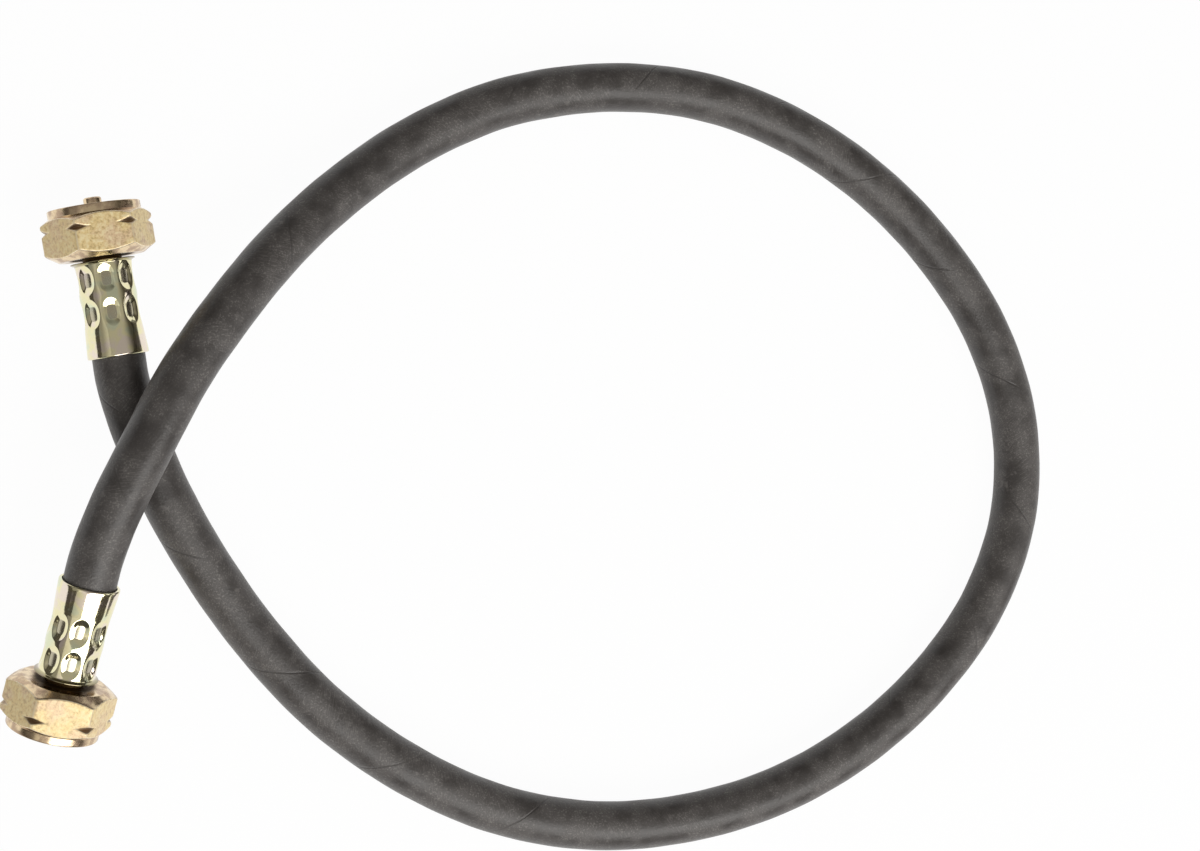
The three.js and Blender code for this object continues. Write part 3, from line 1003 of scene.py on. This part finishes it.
@dataclass(frozen=True)
class UnionNut:
    """Forged hexagon nut with a turned collar and a left-hand thread."""

    across_flats: float = 30 * MM
    corner_radius: float = 1.8 * MM
    hex_length: float = 13.5 * MM
    collar_inset: float = 0.8 * MM
    collar_length: float = 2.5 * MM
    chamfer_angle: float = math.radians(32)
    rear_inset: float = 2 * MM
    rear_wall: float = 3.2 * MM
    thread_bore: float = 20 * MM
    thread_pitch: float = 1.814 * MM
    thread_depth: float = 0.9 * MM
    relief_length: float = 2 * MM
    entry_chamfer: float = 1 * MM
    groove_rise: float = 0.6 * MM
    groove_mouth: float = 2.6 * MM
    groove_place: float = 9.4 * MM
    shank: float = 12 * MM
    edge_softness: float = 0.55 * MM
    edge_give: float = 0.25
    # Shade painted on the rear face round the hole, next to the ferrule, and in the groove.
    painted_shade_radius: tuple[float, float] = (8.6 * MM, 10.4 * MM)
    groove_painted_shade_reach: tuple[float, float] = (0.6 * MM, 1.6 * MM)
    groove_painted_shade_share: float = 0.5
    worn_width: float = 1.1 * MM
    flats: int = 6
    corner_crowding: float = 0.72
    columns: int = 252

    @property
    def length(self) -> float:
        """Length of the hexagon and the collar together."""
        return self.hex_length + self.collar_length

    @property
    def flat_turn(self) -> float:
        """Angle from the middle of one flat to that of the next."""
        return 2 * math.pi / self.flats

    def outline(self) -> list[Corner]:
        """The nut's outline, with the hexagon's corners still unlimited.

        Returns:
            Its corners, from the hole in the rear face outside and back through the thread.
        """
        slope = math.tan(self.chamfer_angle)
        corner = self.across_flats / math.sqrt(3)
        rear = self.across_flats / 2 - self.rear_inset
        collar = self.across_flats / 2 - self.collar_inset
        hole = self.shank / 2 + SEAT_GAP
        thread = self.thread_bore / 2
        root = thread + self.thread_depth
        fine, flat = 0.16 * MM, 0.4 * MM
        threaded = Band.THREAD
        half_mouth = self.groove_mouth / 2
        groove_floor = self.across_flats / 2 + self.groove_rise
        relief_end = self.rear_wall + self.relief_length
        return [
            Corner(hole, 0, fillet=0.3 * MM, step=1 * MM),
            Corner(rear, 0, fillet=0.5 * MM, step=fine),
            Corner(corner, (corner - rear) * slope, step=flat),
            Corner(corner, self.groove_place - half_mouth, step=fine),
            Corner(groove_floor, self.groove_place, fillet=0.12 * MM, step=fine),
            Corner(corner, self.groove_place + half_mouth, step=flat),
            Corner(corner, self.hex_length - (corner - collar) * slope, step=fine),
            Corner(collar, self.hex_length, fillet=0.12 * MM, step=0.3 * MM),
            Corner(collar, self.length, fillet=0.3 * MM, step=0.5 * MM),
            Corner(thread + self.entry_chamfer, self.length, fillet=0.1 * MM, step=fine,
                   band=threaded),
            Corner(thread, self.length - self.entry_chamfer, step=0.15 * MM, band=threaded),
            Corner(thread, relief_end, step=fine, band=threaded),
            Corner(root, relief_end - self.thread_depth, fillet=0.2 * MM, step=0.4 * MM),
            Corner(root, self.rear_wall, fillet=0.2 * MM, step=0.8 * MM),
            Corner(hole, self.rear_wall, fillet=0.2 * MM, step=0.8 * MM),
        ]

    def hexagon(self, angles: np.ndarray) -> np.ndarray:
        """The hexagon with its rounded corners.

        Args:
            angles: angles from the middle of the top flat.

        Returns:
            Its radius at each angle.
        """
        half = self.flat_turn / 2
        apothem = self.across_flats / 2
        off = np.abs((angles + half) % self.flat_turn - half)
        centre = (apothem - self.corner_radius) / math.cos(half)
        beside = half - off
        reach = np.clip(self.corner_radius ** 2 - (centre * np.sin(beside)) ** 2, 0, None)
        rounded = centre * np.cos(beside) + np.sqrt(reach)
        tangent = math.atan((apothem - self.corner_radius) * math.tan(half) / apothem)
        return np.where(off < tangent, apothem / np.cos(off), rounded)

    def thread(self, places: np.ndarray, angles: np.ndarray) -> np.ndarray:
        """The left-hand thread in the bore.

        Args:
            places: places along the nut.
            angles: angles from the middle of the top flat.

        Returns:
            Its radius at each place and angle.
        """
        phase = places[:, None] / self.thread_pitch + angles[None] / (2 * math.pi)
        wave = 0.5 - 0.5 * np.cos(2 * math.pi * phase)
        return self.thread_bore / 2 + self.thread_depth * wave

    def build(self, name: str, start: float) -> bpy.types.Object:
        """Builds the nut in its fitting's frame.

        Args:
            name: the piece's name.
            start: the place of its rear face.

        Returns:
            The nut, with the maps of its cuts, its corners and its painted shade.
        """
        rows, bands = rows_of(self.outline())
        places = rows[:, 1]
        even = np.arange(self.columns) / self.columns * 2 * math.pi
        angles = even + self.corner_crowding * np.sin(self.flats * even) / self.flats
        radii = np.repeat(rows[:, :1], self.columns, axis=1)
        hexagon = np.broadcast_to(self.hexagon(angles), radii.shape)
        cut = np.clip((hexagon - radii) / MM, -1, 1)
        soft = np.clip(1 - np.abs(radii - hexagon) / self.edge_softness, 0, 1)
        outer = np.minimum(radii, hexagon) - soft ** 2 * self.edge_softness * self.edge_give
        threaded = np.array([band is Band.THREAD for band in bands])
        wound = np.maximum(radii, self.thread(places, angles))
        shape = np.where(threaded[:, None], wound, outer)
        # Painted shade round the rear hole and in the groove.
        near_hole = np.interp(rows[:, 0], self.painted_shade_radius, (1, 0)) * (places < self.rear_wall)
        in_groove = np.interp(np.abs(places - self.groove_place), self.groove_painted_shade_reach, (1, 0))
        in_groove *= self.groove_painted_shade_share * (rows[:, 0] > hexagon.min())
        beside = ((angles % self.flat_turn - self.flat_turn / 2)
                  * self.across_flats / math.sqrt(3))
        return ring_mesh(name, turned_grid(shape, places + start, angles), maps={
            Worked.CUT: cut,
            Worked.CORNER: np.clip(1 - np.abs(beside) / self.worn_width, 0, 1)[None],
            Worked.PAINTED_SHADE: np.maximum(near_hole, in_groove)[:, None]})


@dataclass(frozen=True)
class Nipple:
    """Turned nipple, from its barbed tail in the hose to the spigot in the nut."""

    bore: float = 3.2 * MM
    hose_bore: float = 6.3 * MM
    barb_height: float = 0.45 * MM
    barb_back: float = 0.25
    barbs: int = 4
    tail_start: float = 3 * MM
    tail_plain: float = 3 * MM
    neck: float = 9.2 * MM
    shoulder_height: float = 1.6 * MM
    shoulder_start: float = 26.8 * MM
    shoulder_length: float = 1.2 * MM
    shank: float = 12 * MM
    shank_start: float = 30 * MM
    flange: float = 18.4 * MM
    flange_start: float = 35.2 * MM
    flange_thickness: float = 2.2 * MM
    spigot: float = 5.5 * MM
    spigot_end: float = 49.4 * MM
    spigot_chamfer: float = 0.4 * MM
    bore_chamfer: float = 0.35 * MM
    # Painted shade, full up to the flange and fading along the spigot.
    painted_shade_fading: int = 3
    columns: int = 96

    def outline(self) -> list[Corner]:
        """The nipple's outline.

        Returns:
            Its corners, from the tip of the tail outside and back through the bore.
        """
        root, neck, shank = self.hose_bore / 2, self.neck / 2, self.shank / 2
        flange, spigot, bore = self.flange / 2, self.spigot / 2, self.bore / 2
        pitch = (self.shoulder_start - self.tail_plain - self.tail_start) / self.barbs
        flange_end = self.flange_start + self.flange_thickness
        shoulder_end = self.shoulder_start + self.shoulder_length
        shoulder = neck + self.shoulder_height
        sharp, edge, soft = 0.1 * MM, 0.15 * MM, 0.25 * MM
        corners = [Corner(bore, self.tail_start, sharp), Corner(root, self.tail_start, edge)]
        for barb in range(1, self.barbs + 1):
            end = self.tail_start + barb * pitch
            corners += [Corner(root + self.barb_height, end - self.barb_back * pitch, sharp),
                        Corner(root, end, sharp)]
        corners += [
            Corner(root, self.shoulder_start, fillet=0.2 * MM),
            Corner(shoulder, self.shoulder_start, edge),
            Corner(shoulder, shoulder_end, edge),
            Corner(neck, shoulder_end, edge),
            Corner(neck, self.shank_start, edge),
            Corner(shank, self.shank_start, edge),
            Corner(shank, self.flange_start, edge),
            Corner(flange, self.flange_start, soft),
            Corner(flange, flange_end, soft),
            Corner(spigot, flange_end, soft),
            Corner(spigot, self.spigot_end - self.spigot_chamfer, sharp, step=0.3 * MM),
            Corner(spigot - self.spigot_chamfer, self.spigot_end, fillet=0.08 * MM),
            Corner(bore + self.bore_chamfer, self.spigot_end, fillet=0.06 * MM),
            Corner(bore, self.spigot_end - self.bore_chamfer, fillet=0.08 * MM, step=2 * MM),
        ]
        return corners

    def build(self, name: str) -> bpy.types.Object:
        """Builds the nipple in its fitting's frame.

        Args:
            name: the piece's name.

        Returns:
            The nipple, with the map of its painted shade.
        """
        rows, _ = rows_of(self.outline())
        radii = np.repeat(rows[:, :1], self.columns, axis=1)
        # Painted shade: full up to the flange, fading towards the spigot's end.
        grime = np.interp(rows[:, 1], (self.flange_start, self.spigot_end), (1, 0))
        return ring_mesh(name, turned_grid(radii, rows[:, 1]),
                         maps={Worked.PAINTED_SHADE: grime[:, None] ** self.painted_shade_fading})


@dataclass(frozen=True)
class SealRing:
    """Flat rubber ring on the nipple's flange, round its spigot."""

    spigot: float = 5.5 * MM
    outer: float = 17.8 * MM
    start: float = 37.7 * MM
    thickness: float = 2.2 * MM
    edge: float = 0.25 * MM
    columns: int = 96

    def build(self, name: str) -> bpy.types.Object:
        """Builds the ring in its fitting's frame.

        Args:
            name: the piece's name.

        Returns:
            The ring.
        """
        inner, outer = self.spigot / 2 + SEAT_GAP, self.outer / 2
        end = self.start + self.thickness
        fine, coarse = 0.4 * MM, 0.8 * MM
        rows, _ = rows_of([
            Corner(inner, self.start, self.edge, coarse),
            Corner(outer, self.start, self.edge, fine),
            Corner(outer, end, self.edge, coarse),
            Corner(inner, end, self.edge, fine),
        ])
        radii = np.repeat(rows[:, :1], self.columns, axis=1)
        return ring_mesh(name, turned_grid(radii, rows[:, 1]))


@dataclass(frozen=True)
class EndFitting:
    """One end of the hose: ferrule, nipple, seal ring and union nut.

    Attributes:
        end: which end of the hose it is.
        push: how far forward its nut lies, from 0 for drawn back to 1 for pushed out.
        mark_turn: the angle of one crimp mark from the top.
        back_gap: gap from the ferrule to the nut when it is drawn back.
        travel: how far the nut can be pushed.
    """

    end: End
    push: float
    mark_turn: float
    back_gap: float = 1 * MM
    travel: float = 1 * MM
    ferrule: Ferrule = field(default_factory=Ferrule)
    nut: UnionNut = field(default_factory=UnionNut)
    nipple: Nipple = field(default_factory=Nipple)
    seal: SealRing = field(default_factory=SealRing)

    @property
    def nut_start(self) -> float:
        """Place of the nut's rear face along the fitting."""
        return self.ferrule.length + self.back_gap + self.push * self.travel

    @property
    def nut_body(self) -> str:
        """The body that the nut rides on."""
        return f"{self.end.value}_nut"

    def place(self) -> Matrix:
        """The fitting's frame, worked out from the axis that its nut turns on.

        Returns:
            The matrix that takes the fitting's own coordinates to the frame's.
        """
        joint = next(j for j in frame["joints"] if j["child"] == self.nut_body)
        out = Vector(joint["axis"]).normalized()
        side = out.cross(Vector((0, 0, 1))).normalized()
        up = side.cross(out)
        middle = self.nut_start + self.nut.hex_length / 2
        mouth = Vector(joint["pos_m"]) - out * middle
        matrix = Matrix((side, out, up)).transposed().to_4x4()
        matrix.translation = mouth
        return matrix

    def build(self, finishes: FinishSet) -> list[bpy.types.Object]:
        """Builds and dresses the fitting's four pieces.

        Args:
            finishes: the materials.

        Returns:
            The pieces.
        """
        name = self.end.value
        matrix = self.place()
        sleeve = self.ferrule.build(f"{name}_crimped_ferrule", self.mark_turn)
        nipple = self.nipple.build(f"{name}_turned_nipple")
        seal = self.seal.build(f"{name}_flat_seal")
        nut = self.nut.build(f"{name}_gas_nut", self.nut_start)
        for piece in (sleeve, nipple, seal, nut):
            piece.matrix_world = matrix
        bpy.context.view_layer.update()
        return [
            dress(sleeve, Hose.BODY, f"{name}_ferrule", finishes.zinc),
            dress(nipple, Hose.BODY, f"{name}_nipple", finishes.turned),
            dress(seal, Hose.BODY, f"{name}_seal_ring", finishes.seal),
            dress(nut, self.nut_body, f"{name}_union_nut", finishes.nut),
        ]


@dataclass(frozen=True)
class Hose:
    """The rubber hose, from the shoulder of one nipple to that of the other."""

    BODY: ClassVar[str] = "hose_line"
    LAY_MAP: ClassVar[str] = "hose_lay"

    outer: float = 16.3 * MM
    bore: float = 6.3 * MM
    surface_gap: float = 0.05 * MM
    crossing_gap: float = 0.6 * MM
    shoulder: float = 0.5 * MM
    end: float = 26.5 * MM
    barb_height: float = 0.45 * MM
    press_run: float = 1 * MM
    spacing: float = 1.25 * MM
    inner_every: int = 4
    columns: int = 44
    seam_turn: float = 0.5
    wander: float = 0.05 * MM
    wander_length: float = 60 * MM
    wander_beat: float = 3.1

    # Route in plan in millimetres, with a third number that is a share of a height: 0 on the
    # floor, and 1 level with the upper fitting or, in crossing_strand, on the crest of the hump
    # that goes over upper_strand.
    upper_strand: tuple[Point, ...] = (
        (18.5, 11.5, 1), (27, -8.5, 0.84), (40, -31, 0.44), (56.5, -54, 0.07),
    )
    loop: tuple[Point, ...] = (
        (78, -77.5, 0), (106, -98.5, 0), (137, -113.5, 0), (170.5, -121, 0), (205, -120.5, 0),
        (239, -113, 0), (270, -98.5, 0), (297.5, -77.5, 0), (319.5, -50.5, 0), (332, -18.5, 0),
        (332, 16, 0), (320.5, 48, 0), (300, 76, 0), (274, 99, 0), (244, 116, 0),
        (211, 126, 0), (176.5, 127.5, 0), (142.5, 121.5, 0),
    )
    crossing_strand: tuple[Point, ...] = (
        (121, 113, 0.01), (101.5, 102, 0.05), (80, 86, 0.245), (61.5, 69, 0.53), (45, 50, 0.81),
        (30, 29, 0.97), (18, 6.5, 1), (9.2, -12, 0.91),
    )

    def lifted(self, points: tuple[Point, ...], top: float) -> list[np.ndarray]:
        """Points of the route in metres.

        Args:
            points: points in plan in millimetres, with their shares of the height.
            top: the height of the centreline where the share is 1.

        Returns:
            The points.
        """
        low = self.outer / 2 + self.surface_gap
        return [np.array([x * MM, y * MM, low + share * (top - low)]) for x, y, share in points]

    def route(self, upper: Matrix, lower: Matrix) -> list[np.ndarray]:
        """The points that the free hose runs through, from ferrule to ferrule.

        Args:
            upper: the upper fitting's frame.
            lower: the lower fitting's frame.

        Returns:
            The points.
        """
        level = upper.translation.z
        crest = level + self.outer + self.crossing_gap
        leads = [[np.array(matrix @ Vector((0, place, 0)))
                  for place in (self.shoulder, -self.outer / 2)] for matrix in (upper, lower)]
        return [*leads[0], *self.lifted(self.upper_strand, level), *self.lifted(self.loop, crest),
                *self.lifted(self.crossing_strand, crest), *reversed(leads[1])]

    @staticmethod
    def distances(line: np.ndarray) -> np.ndarray:
        """Distance along a line at each of its points."""
        steps = np.linalg.norm(np.diff(line, axis=0), axis=1)
        return np.concatenate([[0], np.cumsum(steps)])

    def smooth(self, points: list[np.ndarray], samples: int = 60) -> np.ndarray:
        """A centripetal curve through the points.

        Args:
            points: the points.
            samples: how finely each span is worked out first.

        Returns:
            Points evenly apart along the curve, with the first and last ones of the list.
        """
        ends = [2 * points[0] - points[1], *points, 2 * points[-1] - points[-2]]
        share = (np.arange(samples) / samples)[:, None]
        spans = []
        for p0, p1, p2, p3 in zip(ends, ends[1:], ends[2:], ends[3:]):
            d0, d1, d2 = (math.sqrt(np.linalg.norm(b - a)) for a, b in
                          ((p0, p1), (p1, p2), (p2, p3)))
            leave = ((p1 - p0) / d0 - (p2 - p0) / (d0 + d1) + (p2 - p1) / d1) * d1
            arrive = ((p2 - p1) / d1 - (p3 - p1) / (d1 + d2) + (p3 - p2) / d2) * d1
            spans.append(p1 + leave * share + (3 * (p2 - p1) - 2 * leave - arrive) * share ** 2
                         + (2 * (p1 - p2) + leave + arrive) * share ** 3)
        line = np.vstack([*spans, points[-1][None]])
        along = self.distances(line)
        at = np.linspace(0, along[-1], round(along[-1] / self.spacing) + 1)
        return np.stack([np.interp(at, along, line[:, k]) for k in range(3)], axis=1)

    @staticmethod
    def carried(line: np.ndarray) -> tuple[np.ndarray, np.ndarray]:
        """Directions across a line, carried along it without twist.

        Args:
            line: the line's points.

        Returns:
            The direction that starts uppermost and the one beside it, at each point.
        """
        ahead = np.gradient(line, axis=0)
        ahead /= np.linalg.norm(ahead, axis=1)[:, None]
        across = np.zeros_like(line)
        normal = np.array([0.0, 0.0, 1.0])
        for i, direction in enumerate(ahead):
            normal = normal - (normal @ direction) * direction
            normal /= np.linalg.norm(normal)
            across[i] = normal
        return across, np.cross(ahead, across)

    def outside(self, inward: np.ndarray, ferrule: Ferrule) -> np.ndarray:
        """Outside of the hose, pressed in where it is crimped.

        Args:
            inward: distances into a ferrule, below 0 on the free hose.
            ferrule: the ferrule.

        Returns:
            The radius at each distance.
        """
        places = (self.shoulder, ferrule.flare_length - self.press_run,
                  ferrule.flare_length + self.press_run)
        radii = (self.outer / 2, ferrule.body_inner - SEAT_GAP, ferrule.pressed_inner - SEAT_GAP)
        return np.interp(inward, places, radii)

    def build(self, upper: Matrix, lower: Matrix, ferrule: Ferrule,
              finishes: FinishSet) -> bpy.types.Object:
        """Args:
            upper: the upper fitting's frame.
            lower: the lower fitting's frame.
            ferrule: the sleeve that both ends are crimped into.
            finishes: the materials.

        Returns:
            The hose.
        """
        free = self.smooth(self.route(upper, lower))
        hidden = np.linspace(self.end, self.shoulder, round(self.end / self.spacing))[:-1]
        inlets = [np.array([matrix @ Vector((0, place, 0)) for place in hidden])
                  for matrix in (upper, lower)]
        line = np.vstack([inlets[0], free, inlets[1][::-1]])
        along = self.distances(line)
        length = float(along[-1])
        inward = self.end - np.minimum(along, length - along)
        swell = self.wander * np.sin(2 * math.pi * along / self.wander_length)
        swell *= np.cos(self.wander_beat * 2 * math.pi * along / self.wander_length)
        outer = self.outside(inward, ferrule) + np.where(inward < -self.outer, swell, 0)
        inner = np.where(inward > 0, self.bore / 2 + self.barb_height + SEAT_GAP, self.bore / 2)
        back = sorted({*range(0, len(line), self.inner_every), len(line) - 1}, reverse=True)
        order = np.array([*range(len(line)), *back])
        radii = np.concatenate([outer, inner[back]])[:, None, None]
        across, beside = (way[order][:, None] for way in self.carried(line))
        angles = (self.seam_turn + np.arange(self.columns) / self.columns) * 2 * math.pi
        angles = angles[None, :, None]
        grid = line[order][:, None] + radii * (np.cos(angles) * across + np.sin(angles) * beside)
        piece = ring_mesh("rubber_hose", grid, lay=along[order])
        dress(piece, self.BODY, "hose", finishes.rubber)
        log.info("hose: %.0f mm long, %.0f mm of it free", length / MM,
                 (length - 2 * self.end) / MM)
        return piece


# Studio and camera


@dataclass(frozen=True)
class Softbox:
    """A soft lamp that faces a point on the floor."""

    name: str
    place: Point
    size: tuple[float, float]
    radiance: float
    tint: Colour = (1.0, 0.97, 0.95)
    aim: Point = (0.1, 0.0, 0.0)

    def build(self) -> None:
        """Adds the lamp, hidden from the camera itself."""
        lamp = bpy.data.lights.new(self.name, "AREA")
        lamp.shape = "RECTANGLE"
        lamp.size, lamp.size_y = self.size
        lamp.energy = self.radiance * math.pi * self.size[0] * self.size[1]
        lamp.color = self.tint
        box = bpy.data.objects.new(self.name, lamp)
        box.location = self.place
        sight = Vector(self.aim) - Vector(self.place)
        box.rotation_euler = sight.to_track_quat("-Z", "Y").to_euler()
        box.visible_camera = False
        bpy.context.scene.collection.objects.link(box)


@dataclass(frozen=True)
class Studio:
    """Plain white sheet, soft lamps and a dim room with a lit ceiling."""

    sheet_size: float = 8.0
    ceiling: Colour = (0.40, 0.385, 0.36)
    walls: Colour = (0.075, 0.068, 0.060)
    ceiling_ramp: Ramp = Ramp(0.50, 0.92)
    backdrop: Colour = (1.0, 1.0, 1.0)
    lamps: tuple[Softbox, ...] = (
        Softbox("front_softbox", place=(0.44, -0.80, 1.02), size=(1.5, 0.82), radiance=4.1,
                tint=(1.0, 0.99, 0.97)),
        Softbox("fill_softbox", place=(-0.72, -0.74, 1.02), size=(0.8, 0.8), radiance=0.45,
                tint=(1.0, 0.97, 0.90)),
        Softbox("left_softbox", place=(-1.05, 0.15, 0.85), size=(1.3, 0.9), radiance=0.20),
        Softbox("right_softbox", place=(1.15, -0.1, 0.45), size=(0.7, 0.28), radiance=1.6),
    )

    def build(self) -> None:
        """Lays the sheet, hangs the lamps and lights the room."""
        half = self.sheet_size / 2
        corners = [(-half, -half, 0), (half, -half, 0), (half, half, 0), (-half, half, 0)]
        mesh = bpy.data.meshes.new("pale_sheet")
        mesh.from_pydata(corners, [], [(0, 1, 2, 3)])
        sheet = bpy.data.objects.new("pale_sheet", mesh)
        bpy.context.scene.collection.objects.link(sheet)
        mesh.materials.append(PaleSheet("white_sheet").build())
        for lamp in self.lamps:
            lamp.build()
        self.light_room()

    def light_room(self) -> None:
        """A ceiling that dims towards the walls. The camera itself sees plain white."""
        world = bpy.data.worlds.new("studio_room")
        bpy.context.scene.world = world
        tree = Tree(world)
        split = tree.add("SeparateXYZ", Vector=tree.add("TexCoord").outputs["Generated"])
        height = tree.grade(split.outputs["Z"], self.ceiling_ramp)
        colour = tree.mix(height, self.walls, self.ceiling)
        camera = tree.add("LightPath").outputs["Is Camera Ray"]
        colour = tree.mix(camera, colour, self.backdrop)
        glow = tree.add("Background", Color=colour, Strength=1.0)
        tree.add("OutputWorld", Surface=glow.outputs["Background"])


@dataclass(frozen=True)
class Viewpoint:
    """The camera, above the fittings and leaning over the loop."""

    place: Point = (-0.0811, 0.0135, 0.7041)
    lean: float = math.radians(20.06)
    lens: float = 66.0
    sensor: float = 36.0

    def build(self) -> None:
        """Adds the camera and makes it the scene's own."""
        data = bpy.data.cameras.new("viewpoint")
        data.lens = self.lens
        data.sensor_width = self.sensor
        camera = bpy.data.objects.new("viewpoint", data)
        camera.location = self.place
        camera.rotation_euler = Euler((0.0, -self.lean, 0.0))
        bpy.context.scene.collection.objects.link(camera)
        bpy.context.scene.camera = camera


def main() -> None:
    """Builds the camera, the hose, its fittings and the studio, and reports each piece."""
    logging.basicConfig(level=logging.INFO, format="%(message)s")
    bpy.context.scene.view_settings.view_transform = "Standard"
    Viewpoint().build()
    finishes = FinishSet.mixed()
    upper = EndFitting(End.UPPER, push=0, mark_turn=math.radians(-6))
    lower = EndFitting(End.LOWER, push=1, mark_turn=math.radians(2))
    hose = Hose().build(upper.place(), lower.place(), upper.ferrule, finishes)
    for piece in (hose, *upper.build(finishes), *lower.build(finishes)):
        log.info("%s: %d faces", piece.name, len(piece.data.polygons))
    Studio().build()


if __name__ == "__main__":
    main()
